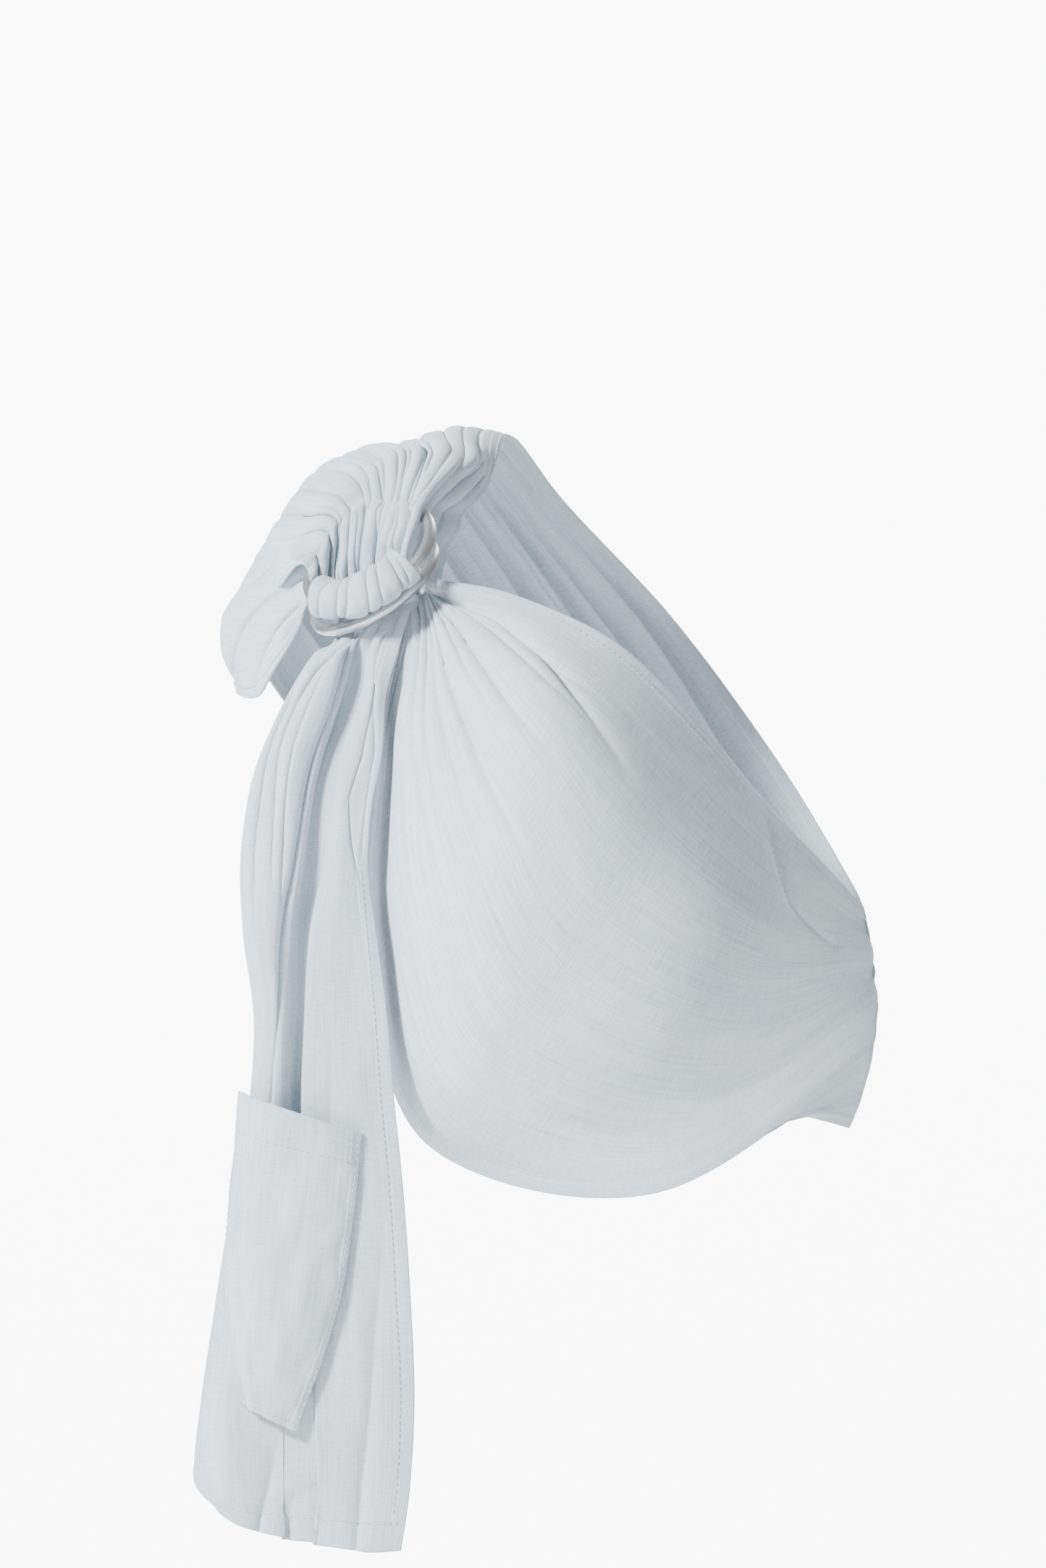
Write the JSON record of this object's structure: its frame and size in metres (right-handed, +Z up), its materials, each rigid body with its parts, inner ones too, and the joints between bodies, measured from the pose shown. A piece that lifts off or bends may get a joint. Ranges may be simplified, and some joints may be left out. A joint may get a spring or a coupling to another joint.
{
  "type": "ring sling baby carrier",
  "caption": "Woven ring sling baby carrier in its worn shape: gathered shoulder, back band, deep front pouch, metal rings and a hanging tail with a patch pocket.",
  "frame": {"origin": "on top of the wearer's right shoulder, where the gathered cloth bears", "axes": "+Z up, +X to the wearer's left, -Y the way the wearer faces"},
  "size_m": [0.4758, 0.4111, 0.768],
  "materials": {
    "cloth": "plain woven linen and cotton, matt",
    "thread": "matt sewing thread",
    "rings": "satin"
  },
  "bodies": {
    "sling": {"ring_fold": "cloth", "ring_fold_stitching": "thread", "pouch_neck": "cloth", "tail_neck": "cloth", "shoulder_gather": "cloth", "shoulder_cap": "cloth", "back_band": "cloth", "hip_wrap": "cloth", "pouch": "cloth", "pouch_underside": "cloth", "pouch_top_hem": "cloth", "pouch_bottom_hem": "cloth"},
    "upper_ring": {"upper_ring": "rings", "threaded_bundle": "cloth"},
    "lower_ring": {"lower_ring": "rings"},
    "shoulder_flap": {"shoulder_flap": "cloth"},
    "tail_upper": {"tail_upper": "cloth"},
    "tail_lower": {"tail_lower": "cloth", "tail_end_hem": "cloth", "tail_end_stitching": "thread", "pocket": "cloth", "pocket_mouth_hem": "cloth", "pocket_mouth_stitching": "thread", "pocket_stitching": "thread"}
  },
  "joints": [
    {"name": "upper_ring_lift", "type": "hinge", "parent": "sling", "child": "upper_ring", "pos_m": [-0.0585, -0.0963, -0.0487], "axis": [-0.8257, 0, -0.5642], "range_deg": [0, 18]},
    {"name": "lower_ring_tilt", "type": "hinge", "parent": "sling", "child": "lower_ring", "pos_m": [-0.0511, -0.0784, -0.0737], "axis": [0.8257, 0, 0.5642], "range_deg": [0, 6]},
    {"name": "shoulder_flap_lift", "type": "hinge", "parent": "sling", "child": "shoulder_flap", "pos_m": [-0.1232, -0.0326, -0.0964], "axis": [-0.4215, 0.9048, -0.06], "range_deg": [0, 40]},
    {"name": "tail_swing", "type": "hinge", "parent": "sling", "child": "tail_upper", "pos_m": [-0.06, -0.152, -0.131], "axis": [-1, 0, 0], "range_deg": [0, 35]},
    {"name": "tail_lower_swing", "type": "hinge", "parent": "tail_upper", "child": "tail_lower", "pos_m": [-0.075, -0.2165, -0.3935], "axis": [-1, 0, 0], "range_deg": [0, 45]}
  ]
}
